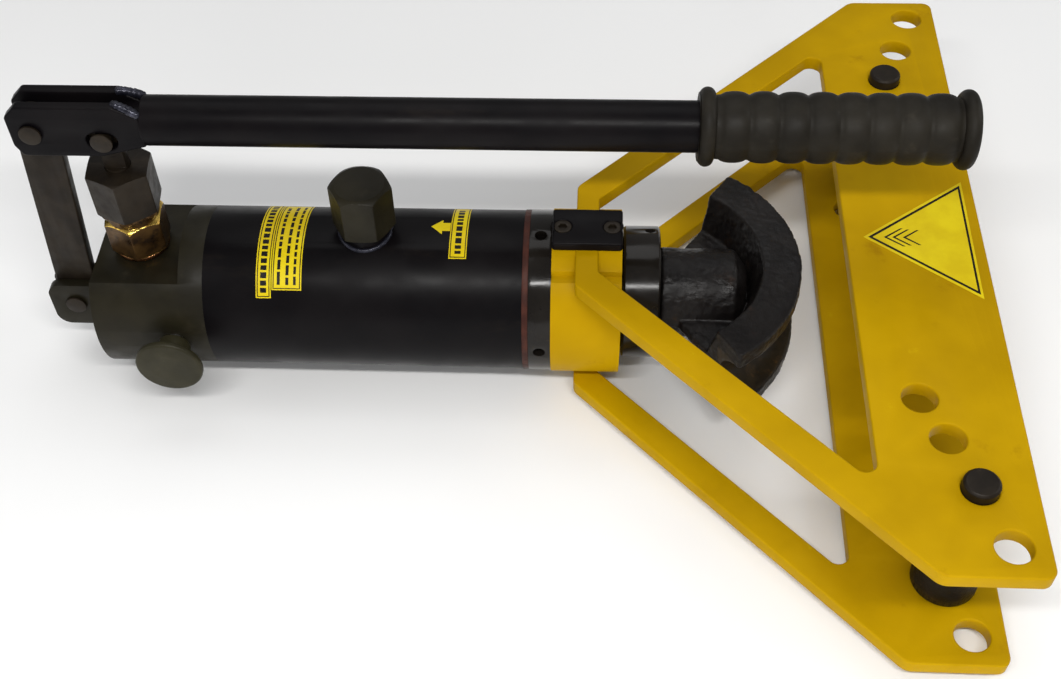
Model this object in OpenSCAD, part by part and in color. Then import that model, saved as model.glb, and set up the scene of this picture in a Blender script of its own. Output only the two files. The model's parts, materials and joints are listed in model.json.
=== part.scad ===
// Hand-pumped hydraulic pipe and rebar bender, lying on its lower wing plate.
// The ram axis runs along +X at height axis_z. The origin is on the ground plane, straight below
// the point where the ram axis crosses the middle of the wing clamp.

/* [Cylinder] */
// Outside diameter of the oil reservoir tube
tube_d = 80; // [78:1:82]
// Length of the reservoir tube
tube_len = 156; // [150:1:180]
// Wall of the reservoir tube
tube_wall = 4; // [3:0.5:4.5]
// Outside diameter of the pressure cylinder inside the reservoir
barrel_d = 56; // [54:1:58]
// Bore of the pressure cylinder
bore_d = 46; // [44:1:48]
// Diameter of the ram
ram_d = 32; // [30:1:34]
// Stroke of the ram
stroke = 100; // [80:5:100]
// Length of the pump block behind the tube
block_len = 56; // [54:1:64]
// Height of the pump flat above the ram axis
flat_h = 28.5; // [27:0.5:30]

/* [Wing plates] */
// Thickness of each wing plate
plate_t = 8; // [6:0.5:9]
// Outer face to outer face of the two wing plates
plate_span = 80; // [78:1:84]
// Tip to tip width of the wing plates
wing_w = 378; // [370:1:400]
// Depth of the wings along the ram axis
wing_depth = 65; // [62:1:75]
// Distance from the clamp to the front edge of the wings
wing_reach = 189; // [186:1:200]
// Width of the strip that lies in the clamp
strip_w = 11; // [10:0.5:12]
// Diameter of the roller pin holes
hole_d = 16; // [14:0.5:17]

/* [Rollers and former] */
// Outside diameter of the two rollers
roller_d = 30; // [28:1:32]
// Length of a roller
roller_len = 62; // [56:1:62]
// Outside radius of the former
former_r = 75; // [70:1:76]
// Thickness of the former
former_t = 46; // [42:1:50]
// Diameter of the largest pipe that lies in the former's groove
pipe_d = 28; // [22:1:30]

/* [Pump] */
// Distance of the pump axis behind the clamp
pump_back = 222; // [222:1:225]
// Diameter of the pump plunger
plunger_d = 12; // [10:1:13]
// Width across flats of the gland nut
gland_af = 29; // [28:1:32]
// Diameter of the release valve knob
knob_d = 33; // [28:1:34]

/* [Handle] */
// Height of the handle tube above the ram axis
handle_h = 107; // [106:1:110]
// Outside diameter of the handle tube
handle_d = 23; // [22:1:25]
// Diameter of the grip's end flanges
grip_d = 35.5; // [34:0.5:37]
// Length of the grip
grip_len = 121; // [110:1:130]
// Number of rounded lobes along the grip
lobes = 8; // [6:1:10]

/* [Hidden] */
$fn = 96;
cut = 1;               // how far a cutting shape runs past the face it opens
run = 0.05;            // radial clearance of a running fit
seat_gap = 0.4;        // clearance round a ball, a spring's end or a sunk head

// Clamp and cylinder, measured along X from the clamp's middle
clamp_t = 5;
clamp_half_x = 17;
clamp_half_y = 12;
clamp_corner = 1.5;
bolt_r = 2.5;
bolt_wall = 2;
bolt_gap = 0.5;
bolt_head_r = 4.25;
bolt_seat_r = 4.5;
bolt_shoulder = 1.5;
bolt_key_r = 2.3;
bolt_key_depth = 2;
axis_z = plate_span / 2 + clamp_t;
collar_r = 41;
hub_r = 28;
ring_len = 11;
gasket_t = 3;
gasket_proud = 0.3;
ring_proud = 0.5;
spanner_hole_r = 3;
spanner_hole_depth = 7;
spanner_hole_turn = 3;
tube_r = tube_d / 2;
tube_in = tube_r - tube_wall;
ring_back = -clamp_half_x - ring_len;
tube_front = ring_back - gasket_t;
tube_back = tube_front - tube_len;
block_back = tube_back - block_len;
shoulder_len = 12;
passage_r = 2;
passage_rise = 8;
plug_r = 3;
delivery_run = 10;
valve_seat_r = 1.5;
return_inset = 4;
stud_r = 5;
stud_len = 8;
key_r = 1.4;
key_depth = 3;
spigot_len = 10;
barrel_r = barrel_d / 2;
bore_r = bore_d / 2;
barrel_seat = 6;
ram_r = ram_d / 2;
head_len = 17;
head_back = ring_back - head_len;
seal_wall = 3;
head_pocket_r = ram_r + seal_wall;
nut_r = 33;
nut_len = 18;
nut_back = clamp_half_x + 1;
nut_front = nut_back + nut_len;
nut_lip = 4;
nut_chamfer = 1;
nut_hole_r = 2.5;
nut_hole_depth = 4;
nut_hole_inset = 5;
nut_hole_turn = -22;
wiper_wall = 4;
head_nose = nut_front - nut_lip;
barrel_front = head_back + barrel_seat;
seal_front = 9;

// Wing plates
inner_half = plate_span / 2 - plate_t;
strip_corner_y = 34;
strip_inner_y = 25;
strip_relief = 4;
tip_len = 45;
tip_back = wing_reach - tip_len;
window_front = wing_reach - wing_depth;
window_margin = 43;
window_half_y = wing_w / 2 - window_margin;
hole_margin = 15;
hole_x0 = wing_reach - hole_margin;
strip_fillet = 3;
window_fillet = 5;
heel_fillet = 6;
tip_fillet = 8;
nose_fillet = 5;
hole_step_x = 9.2;
hole_y = [for (drop = [15, 43, 69, 91]) wing_w / 2 - drop];
function hole_x(i) = hole_x0 - hole_step_x * i;
front_pin = [hole_x(1), -hole_y[1]];
rear_pin = [hole_x(2), hole_y[2]];
pin_r = hole_d / 2 - run;
pin_proud = 5;
pin_chamfer = 1.2;
roller_dish = 3;
roller_land = 6;

// Piston and former on the ram
piston_gap = 5;
tail_wall = 6;
piston_back = tube_back + piston_gap;
piston_len = 14;
groove_len = 6;
groove_wall = 4;
groove_back = piston_back + groove_wall;
tail_r = ram_r - tail_wall;
tail_len = 7;
piston_nut_r = 15;
piston_nut_t = 6;
spring_wire = 3.4;
spring_back = piston_back + piston_len + spring_wire / 2 + seat_gap;
spring_front = head_back - spring_wire / 2 - seat_gap;
spring_turns = floor((spring_front - spring_back - stroke) / spring_wire);
nose_r = 12.5;
boss_r = 22;
nose_shoulder = 1;
boss_gap = 1;
boss_back = nut_front + boss_gap;
boss_front = boss_back + 36;
boss_tip = boss_front + 6;
boss_tip_r = 14;
nose_len = 26;
former_x = 30;
rim_in = 57;
rim_foot = 51;
web_half = 3;
heel_x = boss_back + 9;
tip = [72.5, 62];
screw_x = boss_back + 14;
screw_r = 3;

// Pump, all on the axis at pump_x
pump_x = -pump_back;
washer_t = 2.5;
washer_wall = 2.6;
nut_turn = 35;
barrel_hex_af = 27;
barrel_chamfer = 3;
barrel_base = flat_h + washer_t;
barrel_hex_top = barrel_base + 19;
collar_low_r = 13;
collar_mid_r = 15;
collar_top_r = 13.5;
collar_fall = 2;
gland_base = barrel_hex_top + 6;
gland_top = gland_base + 24;
gland_chamfer = 1;
stem_r = 11;
stem_bottom = 8;
stem_gap = 0.5;
neck_r = stem_r - 1;
nose_top = gland_base + 9;
packing_t = 6;
plunger_r = plunger_d / 2;
plunger_bottom = stem_bottom + 14;
pin_h = 101;
link_pin_r = 4;
pin_head = 1.2;
pin_head_t = 1.4;
pin_end = 3;
eye_r = 8;
tang_len = 20;
tang_bottom = pin_h - tang_len;
ball_r = 3;
ball_bore_r = 3.6;
valve_h = 4;
valve_wire = 0.9;
valve_spring_r = 2.6;
valve_turns = 4;
seat_screw_len = 6;
plug_len = 6;

// Release valve
knob_x = -203.5;
knob_face = 58;
knob_t = 4;
knob_chamfer = 0.8;
knob_hub_r = 8;
knob_hub_gap = 2.5;
spindle_r = 5;
spindle_tip = 12;
spindle_cone = 5;
spindle_point_r = 1;
spindle_cap = 3;
ring_near = 31;
ring_far = 34;
ring_wall = 1.5;

// Filler
filler_x = -108.5;
filler_hex_af = 27;
filler_base = tube_r + 3;
filler_washer = 1.5;
filler_top = 70;
filler_neck_r = 12;
filler_stem_r = 9;
filler_bore_r = 6;
filler_chamfer = 3;
filler_seat = 1;
filler_seal_wall = 5;

// Handle, link and lug
fork_gap = 7;
cheek_t = 5;
cheek_bottom = 92;
cheek_top = 120;
cheek_cut = 6;
cheek_slope = 11;
cheek_r = 3;
edge_r = 1;
cheek_back = -264;
cheek_front = -202;
fulcrum = [-254, 105];
lug_eye = [-264, -8];
link_t = 6;
link_w = 20;
lug_back = -277;
lug_top = 5;
lug_bottom = -23;
lug_r = 7;
slot_reach = 2.6;
slot_r = link_pin_r + 0.6;
clip_t = 1.2;
clip_wall = 1.8;
clip_gap = 0.3;
clip_slot = 3;
grip_start = 48;
grip_end = grip_start + grip_len;
grip_bottom = 6;
flange_t = 7.5;
flange_round = 2;
flange_gap = 2;
flange_proud = 2;
lobe_dip = 1.3;
lobe_steps = 6;
lobe_gap = 0.2;
handle_wall = 2;
spigot_r = handle_d / 2 - handle_wall;
spigot_in = 16;
spacer_len = 9;
spacer_top = cheek_top - 5;
spacer_bottom = handle_h - spigot_r;

/* Helpers */
// Everything is drawn about the ram axis and lifted onto the ground plane
module on_axis() { translate([0, 0, axis_z]) children(); }
module rod_x(r, x0, x1) { translate([x0, 0, 0]) rotate([0, 90, 0]) cylinder(r = r, h = x1 - x0); }
module rod_y(r, y0, y1) { translate([0, y0, 0]) rotate([-90, 0, 0]) cylinder(r = r, h = y1 - y0); }
module rod_z(r, z0, z1) { translate([0, 0, z0]) cylinder(r = r, h = z1 - z0); }
module ring_x(r_out, r_in, x0, x1) {
    difference() {
        rod_x(r_out, x0, x1);
        rod_x(r_in, x0 - cut, x1 + cut);
    }
}
module ring_z(r_out, r_in, z0, z1) {
    difference() {
        rod_z(r_out, z0, z1);
        rod_z(r_in, z0 - cut, z1 + cut);
    }
}

// A straight rod along Z with both ends chamfered
module chamfered_rod(r, z0, z1, c) {
    rotate_extrude() polygon([[0, z0], [r - c, z0], [r, z0 + c], [r, z1 - c], [r - c, z1], [0, z1]]);
}

// A hexagon bar with its corners turned down at the ends
module hex_bar(af, z0, z1, c) {
    r = af / sqrt(3);
    intersection() {
        translate([0, 0, z0]) cylinder(r = r, h = z1 - z0, $fn = 6);
        rotate_extrude()
            polygon([[0, z0], [r - c, z0], [r, z0 + c / 2], [r, z1 - c / 2], [r - c, z1], [0, z1]]);
    }
}

// A closed outline with each corner replaced by an arc: p is a list of [x, y, radius]
arc_steps = 8;
function unit(v) = v / norm(v);
function corner_arc(a, b, c) =
    let (u = unit([a[0] - b[0], a[1] - b[1]]), v = unit([c[0] - b[0], c[1] - b[1]]),
        half = acos(u * v) / 2, back = b[2] / tan(half), m = unit(u + v),
        centre = [b[0], b[1]] + m * (b[2] / sin(half)),
        from = [b[0], b[1]] + u * back - centre, to = [b[0], b[1]] + v * back - centre)
    [for (i = [0:arc_steps]) centre + b[2] * unit(from * (1 - i / arc_steps) + to * i / arc_steps)];
function rounded(p) = [for (i = [0:len(p) - 1])
    each corner_arc(p[(i + len(p) - 1) % len(p)], p[i], p[(i + 1) % len(p)])];

// A helical spring along Z
module coil_spring(mean_r, wire, z0, z1, turns) {
    translate([0, 0, z0])
        linear_extrude(height = z1 - z0, twist = -360 * turns, slices = round(turns * 20), $fn = 10)
            translate([mean_r, 0]) circle(d = wire);
}

/* Cylinder and pump block */
module pump_block() {
    color("#23241f") on_axis() difference() {
        union() {
            rod_x(tube_r, block_back, tube_back);
            rod_x(tube_in, tube_back - cut, tube_back + spigot_len);
        }
        // The flat that carries the pump
        translate([block_back - cut, -tube_d, flat_h])
            cube([block_len - shoulder_len + cut, 2 * tube_d, tube_d]);
        // Seat of the pressure cylinder
        rod_x(barrel_r, tube_back - barrel_seat, tube_back + spigot_len + cut);
        // Pump bore, suction valve and the drilling down to the reservoir passage
        translate([pump_x, 0, 0]) {
            rod_z(stem_r, stem_bottom, flat_h + cut);
            rod_z(ball_bore_r, 0, stem_bottom + cut);
            rod_z(passage_r, -tube_r + passage_rise, cut);
            rod_z(plug_r, -tube_r - cut, -tube_r + passage_rise);
        }
        translate([0, 0, -tube_r + passage_rise])
            rod_x(passage_r, pump_x, tube_back + spigot_len + cut);
        // Delivery passage with the check valve
        translate([0, 0, valve_h]) {
            rod_x(passage_r, pump_x, tube_back);
            rod_x(ball_bore_r, pump_x + delivery_run, tube_back - barrel_seat + cut);
        }
        // Release valve bore, its seat and the return to the reservoir
        translate([knob_x, 0, 0]) {
            rod_y(spindle_r + run, -tube_r - cut, -spindle_tip);
            rod_y(valve_seat_r, -spindle_tip - cut, 0);
            translate([0, -tube_in + return_inset, 0])
                rod_x(passage_r, 0, tube_back + spigot_len + cut - knob_x);
        }
        // Thread for the lug's stud
        translate([0, 0, (lug_top + lug_bottom) / 2]) rod_x(stud_r, block_back - cut, block_back + stud_len);
    }
}

module reservoir_tube() {
    color("#0d0d10") on_axis() difference() {
        ring_x(tube_r, tube_in, tube_back, tube_front);
        translate([filler_x, 0, 0]) rod_z(filler_stem_r, 0, tube_r + cut);
    }
}

module pressure_cylinder() {
    color("#8c8f93") on_axis() ring_x(barrel_r, bore_r, tube_back - barrel_seat, barrel_front);
}

module tube_gasket() {
    color("#6b2f22") on_axis() ring_x(tube_r + gasket_proud, tube_in, tube_front, ring_back);
}

module front_head() {
    color("#131316") on_axis() difference() {
        union() {
            rod_x(tube_in, head_back, ring_back + cut);
            rod_x(tube_r + ring_proud, ring_back, -clamp_half_x);
            rod_x(hub_r, -clamp_half_x - cut, head_nose);
        }
        rod_x(barrel_r, head_back - cut, barrel_front);
        rod_x(head_pocket_r, head_back, seal_front);
        rod_x(ram_r + seat_gap, head_back, head_nose + cut);
        // Holes for the pin spanner
        for (a = [0:90:270]) rotate([a + spanner_hole_turn, 0, 0]) translate([ring_back + ring_len / 2, 0, 0])
            rod_z(spanner_hole_r, tube_r - spanner_hole_depth, tube_r + cut);
    }
}

module guide_bush() {
    color("#b08a4a") on_axis() ring_x(head_pocket_r, ram_r + run, barrel_front, 0);
}

module rod_seal() {
    color("#5b2c1e") on_axis() ring_x(head_pocket_r, ram_r + run, 0, seal_front);
}

module front_nut() {
    color("#121214") on_axis() difference() {
        translate([nut_back, 0, 0]) rotate([0, 90, 0]) chamfered_rod(nut_r, 0, nut_len, nut_chamfer);
        rod_x(hub_r, nut_back - cut, head_nose);
        rod_x(ram_r + wiper_wall, head_nose - cut, nut_front + cut);
        for (a = [0:90:270]) rotate([a + nut_hole_turn, 0, 0]) translate([nut_front - nut_hole_inset, 0, 0])
            rod_z(nut_hole_r, nut_r - nut_hole_depth, nut_r + cut);
    }
}

module wiper_ring() {
    color("#3a3a3c") on_axis() ring_x(ram_r + wiper_wall, ram_r + run, head_nose, nut_front);
}

/* Wing clamp */
module wing_collar() {
    color("#d9a800") on_axis() difference() {
        rod_x(collar_r, -clamp_half_x, clamp_half_x);
        rod_x(hub_r, -clamp_half_x - cut, clamp_half_x + cut);
        for (side = [0, 180]) rotate([side, 0, 0]) {
            // Seat of the clamp block, groove of the strip and relief under the arms
            translate([-clamp_half_x - cut, -collar_r, plate_span / 2])
                cube([2 * clamp_half_x + 2 * cut, 2 * collar_r, collar_r]);
            translate([-strip_w / 2, -collar_r, inner_half]) cube([strip_w, 2 * collar_r, collar_r]);
            for (end = [0, 180]) rotate([0, 0, end])
                translate([-clamp_half_x - cut, strip_inner_y - strip_relief, inner_half])
                    cube([2 * clamp_half_x + 2 * cut, collar_r, collar_r]);
            for (x = [-1, 1]) translate([x * clamp_half_y, 0, 0])
                rod_z(bolt_r, hub_r + bolt_wall, collar_r + cut);
        }
    }
}

// The window between the arms and the strip, and the plate's outline, each with rounded corners
module wing_outline() {
    half = wing_w / 2;
    window = [[strip_w / 2, strip_inner_y, strip_fillet], [window_front, window_half_y, window_fillet]];
    outer = [[-strip_w / 2, strip_corner_y, heel_fillet], [tip_back, half, tip_fillet],
        [wing_reach, half, nose_fillet]];
    difference() {
        polygon(rounded(concat(outer, [for (i = [len(outer) - 1:-1:0])
            [outer[i][0], -outer[i][1], outer[i][2]]])));
        polygon(rounded(concat(window, [for (i = [len(window) - 1:-1:0])
            [window[i][0], -window[i][1], window[i][2]]])));
    }
}

module wing_plate() {
    difference() {
        translate([0, 0, inner_half]) linear_extrude(height = plate_t) wing_outline();
        for (i = [0:len(hole_y) - 1]) for (s = [-1, 1])
            translate([hole_x(i), s * hole_y[i], 0]) rod_z(hole_d / 2, inner_half - cut, plate_span);
    }
}

module upper_wing_plate() { color("#d9a800") on_axis() wing_plate(); }
module lower_wing_plate() { color("#c89a00") on_axis() mirror([0, 0, 1]) wing_plate(); }

module clamp_block() {
    difference() {
        translate([0, 0, plate_span / 2]) linear_extrude(height = clamp_t)
            polygon(rounded([for (c = [[-1, -1], [1, -1], [1, 1], [-1, 1]])
                [c[0] * clamp_half_x, c[1] * clamp_half_y, clamp_corner]]));
        for (x = [-1, 1]) translate([x * clamp_half_y, 0, 0]) {
            rod_z(bolt_r, plate_span / 2 - cut, axis_z + cut);
            rod_z(bolt_seat_r, plate_span / 2 + bolt_shoulder, axis_z + cut);
        }
    }
}

module upper_clamp_block() { color("#141416") on_axis() clamp_block(); }
module lower_clamp_block() { color("#141416") on_axis() mirror([0, 0, 1]) clamp_block(); }

module clamp_bolts() {
    head_top = plate_span / 2 + clamp_t - seat_gap;
    color("#1d1d20") on_axis() for (side = [0, 180]) rotate([side, 0, 0])
        for (x = [-1, 1]) translate([x * clamp_half_y, 0, 0]) difference() {
            union() {
                rod_z(bolt_head_r, plate_span / 2 + bolt_shoulder, head_top);
                rod_z(bolt_r, hub_r + bolt_wall + bolt_gap, plate_span / 2 + bolt_wall);
            }
            translate([0, 0, head_top - bolt_key_depth])
                cylinder(r = bolt_key_r, h = bolt_key_depth + cut, $fn = 6);
        }
}

/* Filler */
module filler_neck() {
    color("#0f0f12") on_axis() translate([filler_x, 0, 0]) difference() {
        union() {
            rod_z(filler_stem_r, tube_in, filler_base);
            difference() {
                rod_z(filler_neck_r, tube_in, filler_base);
                rod_x(tube_r, -filler_neck_r - cut, filler_neck_r + cut);
            }
        }
        rod_z(filler_bore_r + run, 0, filler_base + cut);
    }
}

module filler_seal() {
    color("#2a2a2a") on_axis() translate([filler_x, 0, 0])
        ring_z(filler_bore_r + filler_seal_wall, filler_bore_r, filler_base, filler_base + filler_washer);
}

module filler_cap() {
    base = filler_base + filler_washer;
    color("#1f211d") on_axis() translate([filler_x, 0, 0]) {
        hex_bar(filler_hex_af, base, filler_top, filler_chamfer);
        rod_z(filler_bore_r, tube_in + filler_seat, base + cut);
    }
}

/* Link lug on the block's end */
module link_lug() {
    mid = (lug_top + lug_bottom) / 2;
    web = 3;
    color("#23241f") on_axis() difference() {
        union() {
            for (s = [-1, 1]) translate([0, s * (fork_gap + cheek_t) / 2, 0]) rotate([90, 0, 0])
                translate([0, 0, -cheek_t / 2]) linear_extrude(height = cheek_t)
                    polygon(rounded([[block_back, lug_bottom, edge_r], [block_back, lug_top, edge_r],
                        [lug_back, lug_top, lug_r], [lug_back, lug_bottom, lug_r]]));
            translate([block_back - web, -fork_gap / 2 - cut, lug_bottom])
                cube([web, fork_gap + 2 * cut, lug_top - lug_bottom]);
            translate([0, 0, mid]) rod_x(stud_r, block_back - web, block_back + stud_len);
        }
        translate([lug_eye[0], 0, lug_eye[1]]) rod_y(link_pin_r, -collar_r, collar_r);
    }
}

// A headed pivot pin along Y, held by a clip at its far end
module pivot_pin(half) {
    rod_y(link_pin_r, -half - cut, half + pin_end);
    rod_y(link_pin_r + pin_head, -half - clip_gap - pin_head_t, -half - clip_gap);
}

module pin_clip(half) {
    difference() {
        rod_y(link_pin_r + clip_wall, half + clip_gap, half + clip_gap + clip_t);
        rod_y(link_pin_r, half, half + cut + clip_t);
        translate([-clip_slot / 2, half, 0]) cube([clip_slot, 2 * clip_t, collar_r]);
    }
}

pin_half = fork_gap / 2 + cheek_t;
module lug_pin() {
    color("#55575a") on_axis() translate([lug_eye[0], 0, lug_eye[1]]) pivot_pin(pin_half);
}

module lug_pin_clip() {
    color("#8c8f93") on_axis() translate([lug_eye[0], 0, lug_eye[1]]) pin_clip(pin_half);
}

/* Pump */
module pump_washer() {
    color("#a8622f") on_axis() translate([pump_x, 0, 0])
        ring_z(stem_r + washer_wall, stem_r, flat_h, flat_h + washer_t);
}

module pump_barrel() {
    color("#a97b3a") on_axis() translate([pump_x, 0, 0]) difference() {
        union() {
            rod_z(stem_r, stem_bottom + stem_gap, barrel_base + cut);
            rotate([0, 0, nut_turn]) hex_bar(barrel_hex_af, barrel_base, barrel_hex_top, barrel_chamfer);
            rotate_extrude() polygon([[0, barrel_hex_top - cut], [collar_low_r, barrel_hex_top - cut],
                [collar_mid_r, gland_base - collar_fall], [collar_top_r, gland_base], [0, gland_base]]);
            rod_z(neck_r, gland_base - cut, nose_top);
        }
        rod_z(plunger_r + run, 0, nose_top + cut);
    }
}

module gland_nut() {
    color("#2c241d") on_axis() translate([pump_x, 0, 0]) difference() {
        rotate([0, 0, nut_turn]) hex_bar(gland_af, gland_base, gland_top, gland_chamfer);
        rod_z(neck_r, gland_base - cut, nose_top + packing_t);
        rod_z(plunger_r + run, gland_base, gland_top + cut);
    }
}

module plunger_seal() {
    color("#3a3a3c") on_axis() translate([pump_x, 0, 0])
        ring_z(neck_r, plunger_r + run, nose_top, nose_top + packing_t);
}

module suction_ball() { color("#b9bcc0") on_axis() translate([pump_x, 0, ball_r + seat_gap]) sphere(ball_r); }

module delivery_ball() {
    color("#b9bcc0") on_axis() translate([pump_x + delivery_run + ball_r + seat_gap, 0, valve_h])
        sphere(ball_r);
}

module delivery_seat_screw() {
    x1 = tube_back - barrel_seat;
    color("#8c8f93") on_axis() translate([0, 0, valve_h])
        ring_x(ball_bore_r, valve_seat_r, x1 - seat_screw_len, x1);
}

module delivery_spring() {
    x0 = pump_x + delivery_run + 2 * ball_r + 3 * seat_gap + valve_wire / 2;
    x1 = tube_back - barrel_seat - seat_screw_len - seat_gap - valve_wire / 2;
    color("#9a9da1") on_axis() translate([0, 0, valve_h]) rotate([0, 90, 0])
        coil_spring(valve_spring_r, valve_wire, x0, x1, valve_turns);
}

module suction_plug() {
    color("#1f211d") on_axis() translate([pump_x, 0, 0]) difference() {
        rod_z(plug_r, -tube_r + stem_gap, -tube_r + plug_len);
        translate([0, 0, -tube_r]) cylinder(r = key_r, h = key_depth, $fn = 6);
    }
}

/* Ram */
module ram_rod() {
    color("#b9bcc0") on_axis() {
        rod_x(ram_r, piston_back + piston_len, boss_back - nose_shoulder);
        rod_x(nose_r, boss_back - nose_shoulder - cut, boss_back + nose_len);
        rod_x(tail_r, piston_back - tail_len, piston_back + piston_len + cut);
    }
}

module piston() {
    color("#77797c") on_axis() difference() {
        ring_x(bore_r - run, tail_r, piston_back, piston_back + piston_len);
        ring_x(bore_r + cut, bore_r - groove_wall, groove_back, groove_back + groove_len);
    }
}

module piston_seal() {
    color("#3a3a3c") on_axis()
        ring_x(bore_r - run, bore_r - groove_wall, groove_back, groove_back + groove_len);
}

module piston_nut() {
    color("#55575a") on_axis() difference() {
        translate([piston_back - piston_nut_t, 0, 0]) rotate([0, 90, 0])
            cylinder(r = piston_nut_r, h = piston_nut_t, $fn = 6);
        rod_x(tail_r, piston_back - tail_len, piston_back + cut);
    }
}

module return_spring() {
    color("#6f7275") on_axis() rotate([0, 90, 0])
        coil_spring(ram_r + seal_wall, spring_wire, spring_back, spring_front, spring_turns);
}

module former() {
    half = former_t / 2;
    nose_x = former_x + former_r + cut;
    color("#1b1b1d") on_axis() difference() {
        union() {
            // Rim and web, cut back to a chevron behind the tips
            intersection() {
                translate([former_x, 0, 0]) difference() {
                    rod_z(former_r, -half, half);
                    for (side = [0, 180]) rotate([side, 0, 0]) translate([0, 0, web_half])
                        cylinder(r1 = rim_foot, r2 = rim_in, h = half - web_half + cut);
                }
                translate([0, 0, -half]) linear_extrude(height = former_t)
                    polygon([[heel_x, -boss_r], [heel_x, boss_r], tip, [nose_x, tip[1]],
                        [nose_x, -tip[1]], [tip[0], -tip[1]]]);
            }
            rod_x(boss_r, boss_back, boss_front);
            translate([boss_front, 0, 0]) rotate([0, 90, 0])
                cylinder(r1 = boss_r, r2 = boss_tip_r, h = boss_tip - boss_front);
        }
        rod_x(nose_r, boss_back - cut, boss_back + nose_len);
        translate([former_x, 0, 0]) rotate_extrude() translate([former_r, 0]) circle(d = pipe_d);
        translate([screw_x, 0, 0]) rod_z(screw_r, -boss_r - cut, -nose_r + cut);
    }
}

module former_screw() {
    color("#55575a") on_axis() translate([screw_x, 0, 0]) difference() {
        rod_z(screw_r, -boss_r + seat_gap, -nose_r - run);
        translate([0, 0, -boss_r]) cylinder(r = key_r, h = key_depth, $fn = 6);
    }
}

/* Link and handle */
link_len = norm(fulcrum - lug_eye);
link_lean = atan2(fulcrum[0] - lug_eye[0], fulcrum[1] - lug_eye[1]);
module link_strap() {
    color("#24211e") on_axis() difference() {
        translate([lug_eye[0], 0, lug_eye[1]]) rotate([0, link_lean, 0]) union() {
            for (z = [0, link_len]) translate([0, 0, z]) rod_y(link_w / 2, -link_t / 2, link_t / 2);
            translate([-link_w / 2, -link_t / 2, 0]) cube([link_w, link_t, link_len]);
        }
        for (p = [lug_eye, fulcrum]) translate([p[0], 0, p[1]]) rod_y(link_pin_r + run, -link_t, link_t);
    }
}

module link_pin() { color("#55575a") on_axis() translate([fulcrum[0], 0, fulcrum[1]]) pivot_pin(pin_half); }
module link_pin_clip() {
    color("#8c8f93") on_axis() translate([fulcrum[0], 0, fulcrum[1]]) pin_clip(pin_half);
}

module cheek() {
    difference() {
        rotate([90, 0, 0]) translate([0, 0, -cheek_t / 2]) linear_extrude(height = cheek_t)
            polygon(rounded([[cheek_back + cheek_cut / 2, cheek_bottom, cheek_r],
                [cheek_front - 2 * cheek_slope, cheek_bottom, cheek_r],
                [cheek_front, cheek_bottom + cheek_cut, edge_r], [cheek_front, cheek_top - cheek_cut, edge_r],
                [cheek_front - cheek_slope, cheek_top, cheek_r], [cheek_back + cheek_cut, cheek_top, cheek_r],
                [cheek_back, cheek_top - cheek_cut, cheek_r], [cheek_back, cheek_bottom + cheek_cut, cheek_r]]));
        translate([fulcrum[0], 0, fulcrum[1]]) rod_y(link_pin_r + run, -cheek_t, cheek_t);
        for (s = [-1, 1]) translate([pump_x + s * slot_reach, 0, pin_h]) rod_y(slot_r, -cheek_t, cheek_t);
        translate([pump_x - slot_reach, -cheek_t, pin_h - slot_r])
            cube([2 * slot_reach, 2 * cheek_t, 2 * slot_r]);
    }
}

cheek_mid = (fork_gap + cheek_t) / 2;
module front_cheek() { color("#191a1d") on_axis() translate([0, -cheek_mid, 0]) cheek(); }
module rear_cheek() { color("#191a1d") on_axis() translate([0, cheek_mid, 0]) cheek(); }

module fork_spacer() {
    color("#191a1d") on_axis() {
        translate([cheek_front - spacer_len, -fork_gap / 2, spacer_bottom])
            cube([spacer_len, fork_gap, spacer_top - spacer_bottom]);
        translate([0, 0, handle_h]) rod_x(spigot_r, cheek_front, cheek_front + spigot_in);
    }
}

module handle_tube() {
    color("#0d0d10") on_axis() translate([0, 0, handle_h])
        ring_x(handle_d / 2, spigot_r, cheek_front, grip_end - grip_bottom);
}

// The grip's profile is a row of barrel-shaped lobes between two end flanges
module handle_grip() {
    r = grip_d / 2;
    peak = r - flange_proud;
    pitch = (grip_len - 2 * flange_t - 2 * flange_gap) / lobes;
    lobe = [for (i = [0:lobes - 1]) for (k = [0:lobe_steps])
        [peak - lobe_dip * pow(abs(2 * k / lobe_steps - 1), 3),
            flange_t + flange_gap + pitch * (i + (k + lobe_gap) / (lobe_steps + 2 * lobe_gap))]];
    near = [[0, 0], [r - flange_round, 0], [r, flange_round], [r, flange_t - flange_round],
        [r - flange_round, flange_t], [peak - lobe_dip, flange_t + flange_gap / 2]];
    far = [for (i = [len(near) - 1:-1:0]) [near[i][0], grip_len - near[i][1]]];
    color("#16140f") on_axis() translate([grip_start, 0, handle_h]) rotate([0, 90, 0]) difference() {
        rotate_extrude() polygon(concat(near, lobe, far));
        rod_z(handle_d / 2, -cut, grip_len - grip_bottom);
    }
}

/* Plunger */
module plunger() {
    half = link_t / 2;
    color("#8c8f93") on_axis() translate([pump_x, 0, 0]) difference() {
        union() {
            rod_z(plunger_r, plunger_bottom, tang_bottom);
            intersection() {
                rod_z(plunger_r, tang_bottom - cut, pin_h);
                translate([-eye_r, -half, tang_bottom - cut]) cube([2 * eye_r, 2 * half, pin_h]);
            }
            translate([0, 0, pin_h]) rod_y(eye_r, -half, half);
        }
        translate([0, 0, pin_h]) rod_y(link_pin_r, -eye_r, eye_r);
    }
}

module plunger_pin() { color("#55575a") on_axis() translate([pump_x, 0, pin_h]) pivot_pin(pin_half); }
module plunger_pin_clip() { color("#8c8f93") on_axis() translate([pump_x, 0, pin_h]) pin_clip(pin_half); }

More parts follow.
